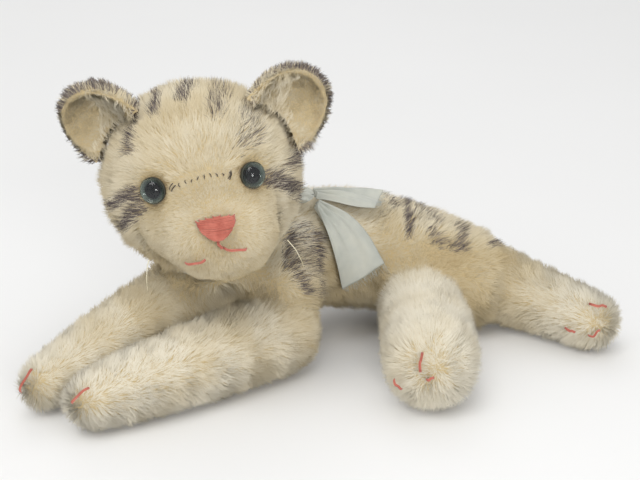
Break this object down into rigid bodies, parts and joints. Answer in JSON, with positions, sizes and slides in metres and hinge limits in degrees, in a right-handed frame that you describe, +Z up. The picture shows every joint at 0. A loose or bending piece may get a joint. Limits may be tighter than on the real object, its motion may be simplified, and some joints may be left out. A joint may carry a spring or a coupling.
{
  "type": "plush cat",
  "caption": "Mohair plush tabby kitten lying down, with a disc-jointed swivel head, soft sewn legs and tail, glass eyes, stitched features and a silk neck ribbon.",
  "frame": {"origin": "on the surface it lies on, under the middle of its outline", "axes": "+Z up, the kitten's body runs along X with its forelegs towards -X, and its face looks along -Y"},
  "size_m": [0.2596, 0.1764, 0.1355],
  "materials": {
    "cream_mohair": "matt, long pile",
    "sheared_mohair": "matt, short pile",
    "ear_velvet": "matt, short pile",
    "wood_wool": "matt",
    "coral_thread": "soft sheen",
    "pale_silk": "silky",
    "fibreboard": "matt",
    "steel": "satin",
    "clear_glass": "polished",
    "iris_paint": "glossy",
    "black_glass": "polished",
    "nylon": "glossy"
  },
  "bodies": {
    "torso": {"body_cover": "cream_mohair", "body_stuffing": "wood_wool", "body_disc": "fibreboard", "body_washer": "steel", "ribbon_band": "pale_silk", "ribbon_knot": "pale_silk", "ribbon_front_end": "pale_silk", "ribbon_back_end": "pale_silk"},
    "head": {"head_cover": "cream_mohair", "muzzle_panel": "sheared_mohair", "head_stuffing": "wood_wool", "head_disc": "fibreboard", "head_washer": "steel", "cotter_pin": "steel", "eye_left_shank": "steel", "eye_left_iris": "iris_paint", "eye_left_pupil": "black_glass", "eye_left_glass": "clear_glass", "eye_right_shank": "steel", "eye_right_iris": "iris_paint", "eye_right_pupil": "black_glass", "eye_right_glass": "clear_glass", "ear_left_back": "cream_mohair", "ear_left_lining": "ear_velvet", "ear_right_back": "cream_mohair", "ear_right_lining": "ear_velvet", "nose_embroidery": "coral_thread", "philtrum_stitch": "coral_thread", "mouth_right_stitch": "coral_thread", "mouth_left_stitch": "coral_thread", "whisker_left": "nylon", "whisker_right": "nylon"},
    "near_front_leg": {"near_front_leg_cover": "cream_mohair", "near_front_leg_stuffing": "wood_wool", "near_front_leg_claw_1": "coral_thread"},
    "far_front_leg": {"far_front_leg_cover": "cream_mohair", "far_front_leg_stuffing": "wood_wool", "far_front_leg_claw_1": "coral_thread"},
    "near_hind_leg": {"near_hind_leg_cover": "cream_mohair", "near_hind_leg_stuffing": "wood_wool", "near_hind_leg_claw_1": "coral_thread", "near_hind_leg_claw_2": "coral_thread", "near_hind_leg_claw_3": "coral_thread"},
    "far_hind_leg": {"far_hind_leg_cover": "cream_mohair", "far_hind_leg_stuffing": "wood_wool", "far_hind_leg_claw_1": "coral_thread", "far_hind_leg_claw_2": "coral_thread", "far_hind_leg_claw_3": "coral_thread"},
    "tail": {"tail_cover": "cream_mohair", "tail_stuffing": "wood_wool"}
  },
  "joints": [
    {"name": "neck_swivel", "type": "hinge", "parent": "torso", "child": "head", "pos_m": [-0.04527, -0.00407, 0.05602], "axis": [-0.2209, -0.3409, 0.9138], "continuous": true},
    {"name": "near_front_leg_flex", "type": "hinge", "parent": "torso", "child": "near_front_leg", "pos_m": [-0.0215, -0.0186, 0.0185], "axis": [-0.6056, 0.7958, 0], "range_deg": [0, 12]},
    {"name": "far_front_leg_flex", "type": "hinge", "parent": "torso", "child": "far_front_leg", "pos_m": [-0.0725, -0.008, 0.026], "axis": [-0.74, 0.6726, 0], "range_deg": [0, 12]},
    {"name": "near_hind_leg_flex", "type": "hinge", "parent": "torso", "child": "near_hind_leg", "pos_m": [0.04, 0.0072, 0.0193], "axis": [-0.9997, -0.024, 0], "range_deg": [0, 20]},
    {"name": "far_hind_leg_flex", "type": "hinge", "parent": "torso", "child": "far_hind_leg", "pos_m": [0.0777, 0.034, 0.0186], "axis": [-0.619, -0.7854, 0], "range_deg": [0, 15]},
    {"name": "tail_flex", "type": "hinge", "parent": "torso", "child": "tail", "pos_m": [0.056, 0.056, 0.021], "axis": [0.339, 0.9408, 0], "range_deg": [0, 25]}
  ]
}
